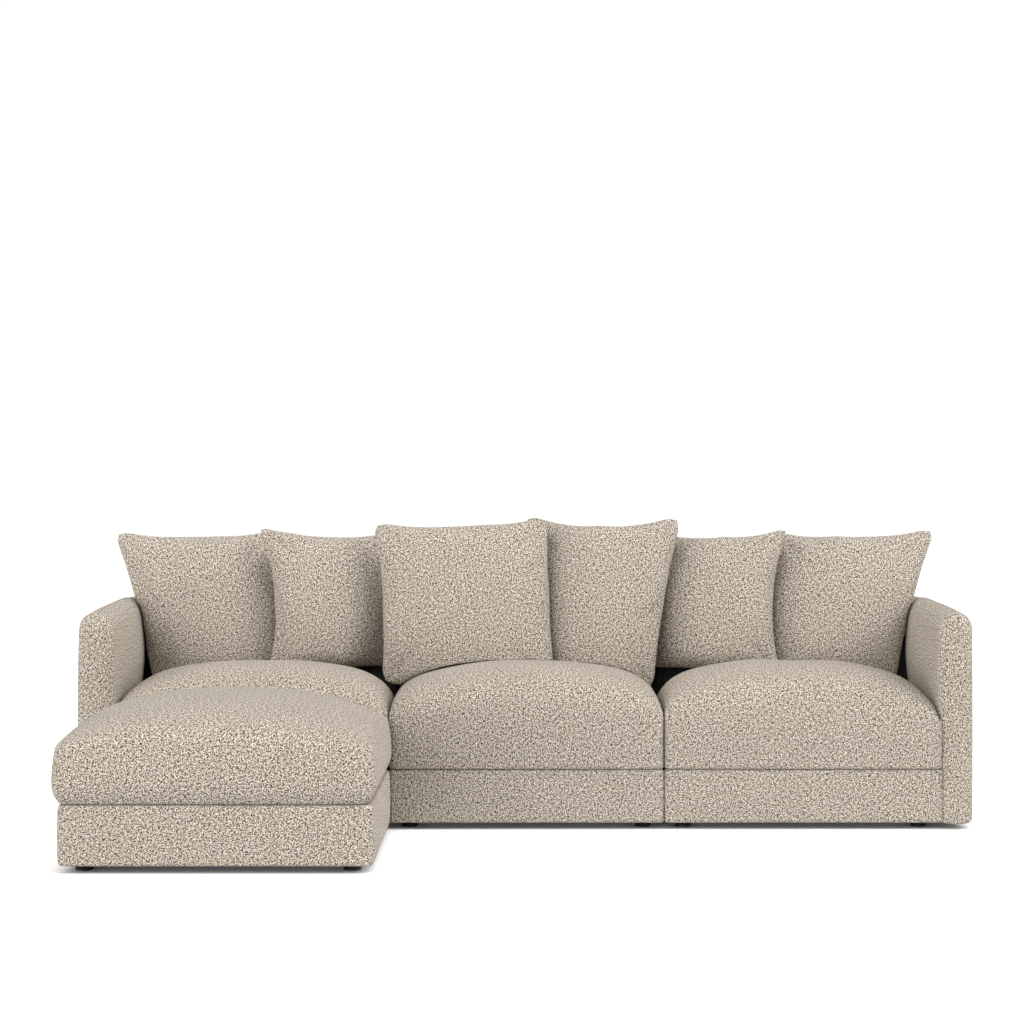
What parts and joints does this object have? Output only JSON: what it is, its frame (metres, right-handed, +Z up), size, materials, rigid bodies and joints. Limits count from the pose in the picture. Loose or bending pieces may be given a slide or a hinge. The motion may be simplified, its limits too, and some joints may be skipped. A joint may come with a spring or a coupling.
{
  "type": "three-seater sofa with footstool",
  "caption": "Low modular sofa with slab arms, loose back cushions and domed seat cushions in flecked boucle, with a matching square footstool.",
  "frame": {"origin": "on the floor, at the middle of the footprint of the sofa and footstool together, in the plane of the sofa's front covers", "axes": "+X along the row of seats, to the right seen from the front; +Y from the front to the back; +Z up"},
  "size_m": [2.82, 1.77, 0.9696],
  "materials": {
    "boucle_fabric": "cream and taupe boucle, flecked, matt",
    "timber": "planed, unvarnished",
    "webbing": "woven elastic webbing",
    "dust_cloth": "black non-woven cloth",
    "foot_plastic": "black moulded plastic",
    "zinc_steel": "zinc plated"
  },
  "bodies": {
    "middle_module": {"middle_back_cover": "boucle_fabric", "middle_back_panel": "timber", "middle_connector_plates": "zinc_steel", "middle_corner_blocks": "timber", "middle_dust_cover": "dust_cloth", "middle_feet": "foot_plastic", "middle_frame_bolts": "zinc_steel", "middle_front_cover": "boucle_fabric", "middle_long_rails": "timber", "middle_seat_cushion": "boucle_fabric", "middle_side_covers": "boucle_fabric", "middle_side_rails": "timber", "middle_webbing": "webbing"},
    "left_module": {"left_arm_cover": "boucle_fabric", "left_arm_panel": "timber", "left_back_cover": "boucle_fabric", "left_back_panel": "timber", "left_connector_tongues": "zinc_steel", "left_corner_blocks": "timber", "left_dust_cover": "dust_cloth", "left_feet": "foot_plastic", "left_frame_bolts": "zinc_steel", "left_front_cover": "boucle_fabric", "left_long_rails": "timber", "left_seat_cushion": "boucle_fabric", "left_side_covers": "boucle_fabric", "left_side_rails": "timber", "left_webbing": "webbing"},
    "right_module": {"right_arm_cover": "boucle_fabric", "right_arm_panel": "timber", "right_back_cover": "boucle_fabric", "right_back_panel": "timber", "right_connector_tongues": "zinc_steel", "right_corner_blocks": "timber", "right_dust_cover": "dust_cloth", "right_feet": "foot_plastic", "right_frame_bolts": "zinc_steel", "right_front_cover": "boucle_fabric", "right_long_rails": "timber", "right_seat_cushion": "boucle_fabric", "right_side_covers": "boucle_fabric", "right_side_rails": "timber", "right_webbing": "webbing"},
    "footstool": {"footstool_corner_blocks": "timber", "footstool_dust_cover": "dust_cloth", "footstool_end_covers": "boucle_fabric", "footstool_feet": "foot_plastic", "footstool_long_rails": "timber", "footstool_pad": "boucle_fabric", "footstool_side_covers": "boucle_fabric", "footstool_side_rails": "timber", "footstool_webbing": "webbing"},
    "left_inner_back_cushion": {"left_inner_back_cushion": "boucle_fabric"},
    "left_outer_back_cushion": {"left_outer_back_cushion": "boucle_fabric"},
    "middle_left_back_cushion": {"middle_left_back_cushion": "boucle_fabric"},
    "middle_right_back_cushion": {"middle_right_back_cushion": "boucle_fabric"},
    "right_inner_back_cushion": {"right_inner_back_cushion": "boucle_fabric"},
    "right_outer_back_cushion": {"right_outer_back_cushion": "boucle_fabric"}
  },
  "joints": [
    {"name": "left_module_slide", "type": "slide", "parent": "middle_module", "child": "left_module", "axis": [-1, 0, 0], "range_m": [0, 0.25]},
    {"name": "right_module_slide", "type": "slide", "parent": "middle_module", "child": "right_module", "axis": [1, 0, 0], "range_m": [0, 0.25]},
    {"name": "footstool_slide", "type": "slide", "parent": "middle_module", "child": "footstool", "axis": [0, -1, 0], "range_m": [0, 0.6]},
    {"name": "left_outer_cushion_lift", "type": "slide", "parent": "left_module", "child": "left_outer_back_cushion", "axis": [0, 0.225, 0.9744], "range_m": [0, 0.4]},
    {"name": "left_inner_cushion_lift", "type": "slide", "parent": "left_module", "child": "left_inner_back_cushion", "axis": [0, 0.225, 0.9744], "range_m": [0, 0.4]},
    {"name": "middle_left_cushion_lift", "type": "slide", "parent": "middle_module", "child": "middle_left_back_cushion", "axis": [0, 0.225, 0.9744], "range_m": [0, 0.4]},
    {"name": "middle_right_cushion_lift", "type": "slide", "parent": "middle_module", "child": "middle_right_back_cushion", "axis": [0, 0.225, 0.9744], "range_m": [0, 0.4]},
    {"name": "right_inner_cushion_lift", "type": "slide", "parent": "right_module", "child": "right_inner_back_cushion", "axis": [0, 0.225, 0.9744], "range_m": [0, 0.4]},
    {"name": "right_outer_cushion_lift", "type": "slide", "parent": "right_module", "child": "right_outer_back_cushion", "axis": [0, 0.225, 0.9744], "range_m": [0, 0.4]}
  ]
}
